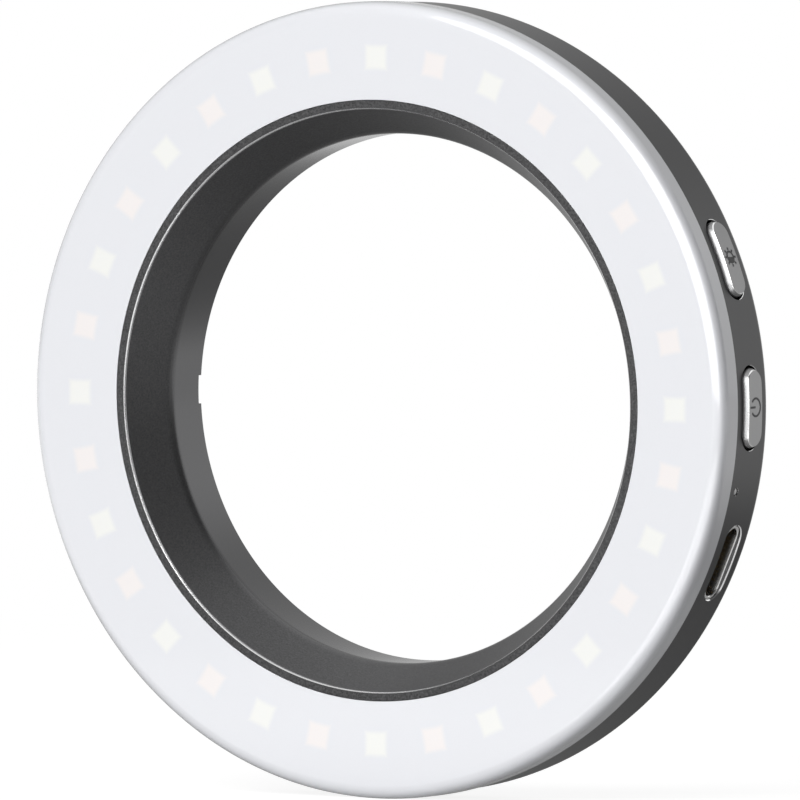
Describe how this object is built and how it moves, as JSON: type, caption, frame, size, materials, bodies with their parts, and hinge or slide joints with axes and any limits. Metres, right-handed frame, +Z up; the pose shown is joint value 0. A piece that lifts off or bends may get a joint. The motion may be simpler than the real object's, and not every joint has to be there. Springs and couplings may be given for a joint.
{
  "type": "ring video light",
  "caption": "Ring video light with a milky light face, an inner barrel that narrows to a lens bore, two side buttons and a charge port.",
  "frame": {"origin": "centre of the lens bore, in the plane of its rear rim", "axes": "+Z up with the ring upright, +Y along the bore away from the light face, so the light looks along -Y, and +X towards the side with the buttons and the charge port"},
  "size_m": [0.0899, 0.012, 0.0896],
  "materials": {
    "diffuser": "milky, fine satin",
    "barrel": "dark anodised, bead blasted, coarser on the lip",
    "housing": "dark anodised, fine satin",
    "mount_plate": "dark plated, turned",
    "magnet": "nickel plated",
    "case_screw": "black oxide",
    "board_screw": "zinc plated",
    "light_board": "white solder mask",
    "cool_led": "pale phosphor",
    "warm_led": "orange phosphor",
    "reflector": "white film",
    "tape": "thermal tape",
    "gold_pin": "gold plated",
    "circuit_board": "green solder mask",
    "chip": "moulded epoxy",
    "inductor": "pressed ferrite",
    "capacitor": "tan ceramic",
    "port_shell": "drawn stainless steel",
    "port_tongue": "black moulding",
    "button": "satin face, polished edge",
    "switch_body": "black moulding",
    "plunger": "natural moulding",
    "indicator": "clear resin",
    "light_pipe": "clear moulding",
    "connector": "natural nylon",
    "cell": "laminate pouch",
    "foam": "foam tape",
    "tab": "nickel strip",
    "red_lead": "red insulation",
    "black_lead": "black insulation"
  },
  "bodies": {
    "root": {"diffuser": "diffuser", "inner_barrel": "barrel", "housing": "housing", "mount_plate": "mount_plate", "mount_magnets": "magnet", "case_screws": "case_screw", "led_board_screws": "board_screw", "main_board_screws": "board_screw", "led_board": "light_board", "cool_leds": "cool_led", "warm_leds": "warm_led", "reflector_sheet": "reflector", "thermal_tape": "tape", "led_feed_pins": "gold_pin", "usb_contacts": "gold_pin", "main_board": "circuit_board", "control_chips": "chip", "boost_inductor": "inductor", "chip_capacitors": "capacitor", "usb_shell": "port_shell", "usb_tongue": "port_tongue", "brightness_switch": "switch_body", "power_switch": "switch_body", "indicator_led": "indicator", "light_pipe": "light_pipe", "battery_socket": "connector", "battery_plug": "connector", "battery_cell_1": "cell", "battery_cell_2": "cell", "battery_cell_3": "cell", "battery_cell_4": "cell", "battery_cell_5": "cell", "battery_cell_6": "cell", "cell_pads": "foam", "cell_tabs": "tab", "positive_lead": "red_lead", "negative_lead": "black_lead"},
    "brightness_button": {"brightness_button": "button", "brightness_plunger": "plunger"},
    "power_button": {"power_button": "button", "power_plunger": "plunger"}
  },
  "joints": [
    {"name": "brightness_button_press", "type": "slide", "parent": "root", "child": "brightness_button", "axis": [-0.9272, 0, -0.3746], "range_m": [0, 0.00025], "stiffness_N_per_m": 4000, "springref_m": -0.0001},
    {"name": "power_button_press", "type": "slide", "parent": "root", "child": "power_button", "axis": [-1, 0, 0], "range_m": [0, 0.00025], "stiffness_N_per_m": 4000, "springref_m": -0.0001}
  ]
}
